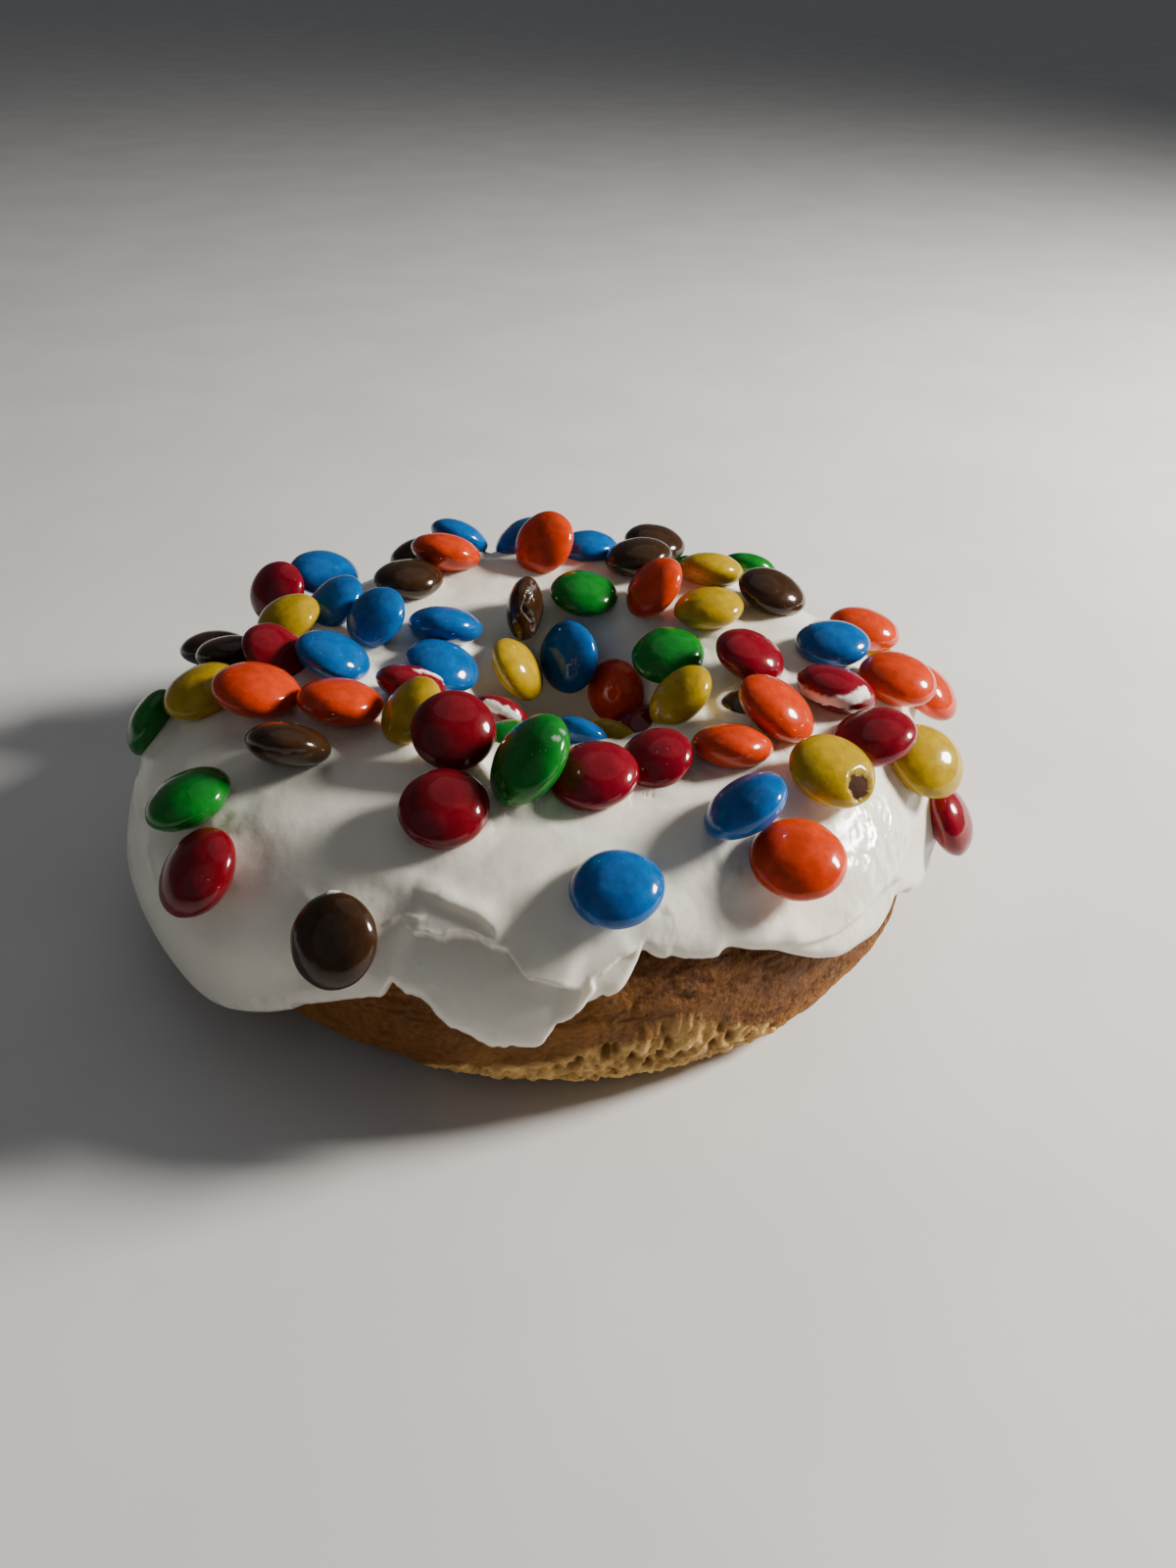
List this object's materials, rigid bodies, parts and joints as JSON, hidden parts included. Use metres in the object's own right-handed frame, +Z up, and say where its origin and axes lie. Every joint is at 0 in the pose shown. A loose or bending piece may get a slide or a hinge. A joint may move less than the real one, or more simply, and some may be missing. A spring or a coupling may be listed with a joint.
{
  "type": "frosted ring doughnut",
  "caption": "Ring doughnut with dripping white icing, topped with sugar-coated chocolate lentils in mixed colours.",
  "frame": {"origin": "on the table under the middle of the whole doughnut's box", "axes": "+Z up, the doughnut lies on its flat base; -Y faces the side with the long drip of icing; +X to the right seen from there"},
  "size_m": [0.1026, 0.0908, 0.0346],
  "materials": {
    "dough_crust": "fried golden-brown crust, dry and wrinkled",
    "white_icing": "set white sugar icing, smooth satin with wetter glossy streaks",
    "shell_blue": "polished hard sugar shell",
    "shell_green": "polished hard sugar shell",
    "shell_yellow": "polished hard sugar shell",
    "shell_orange": "polished hard sugar shell",
    "shell_red": "polished hard sugar shell",
    "shell_maroon": "polished hard sugar shell",
    "shell_brown": "polished hard sugar shell"
  },
  "bodies": {
    "root": {"dough": "dough_crust", "icing": "white_icing", "lentil_blue_01": "shell_blue", "lentil_orange_01": "shell_orange", "lentil_brown_01": "shell_brown", "lentil_blue_02": "shell_blue", "lentil_orange_02": "shell_orange", "lentil_blue_03": "shell_blue", "lentil_brown_02": "shell_brown", "lentil_yellow_01": "shell_yellow", "lentil_orange_03": "shell_orange", "lentil_yellow_02": "shell_yellow", "lentil_brown_03": "shell_brown", "lentil_green_01": "shell_green", "lentil_brown_04": "shell_brown", "lentil_maroon_01": "shell_maroon", "lentil_blue_04": "shell_blue", "lentil_yellow_03": "shell_yellow", "lentil_blue_05": "shell_blue", "lentil_blue_06": "shell_blue", "lentil_red_01": "shell_red", "lentil_brown_05": "shell_brown", "lentil_blue_07": "shell_blue", "lentil_blue_08": "shell_blue", "lentil_blue_09": "shell_blue", "lentil_yellow_04": "shell_yellow", "lentil_blue_10": "shell_blue", "lentil_maroon_02": "shell_maroon", "lentil_green_02": "shell_green", "lentil_yellow_05": "shell_yellow", "lentil_maroon_03": "shell_maroon", "lentil_yellow_06": "shell_yellow", "lentil_red_02": "shell_red", "lentil_green_03": "shell_green", "lentil_maroon_04": "shell_maroon", "lentil_maroon_05": "shell_maroon", "lentil_orange_04": "shell_orange", "lentil_orange_05": "shell_orange", "lentil_maroon_06": "shell_maroon", "lentil_blue_11": "shell_blue", "lentil_orange_06": "shell_orange", "lentil_orange_07": "shell_orange", "lentil_orange_08": "shell_orange", "lentil_maroon_07": "shell_maroon", "lentil_maroon_08": "shell_maroon", "lentil_yellow_07": "shell_yellow", "lentil_yellow_08": "shell_yellow", "lentil_orange_12": "shell_orange", "lentil_blue_12": "shell_blue", "lentil_orange_09": "shell_orange", "lentil_blue_13": "shell_blue", "lentil_red_03": "shell_red", "lentil_brown_06": "shell_brown", "lentil_red_04": "shell_red", "lentil_green_04": "shell_green", "lentil_brown_07": "shell_brown", "lentil_orange_10": "shell_orange", "lentil_orange_11": "shell_orange", "lentil_yellow_09": "shell_yellow", "lentil_green_05": "shell_green"}
  },
  "joints": []
}
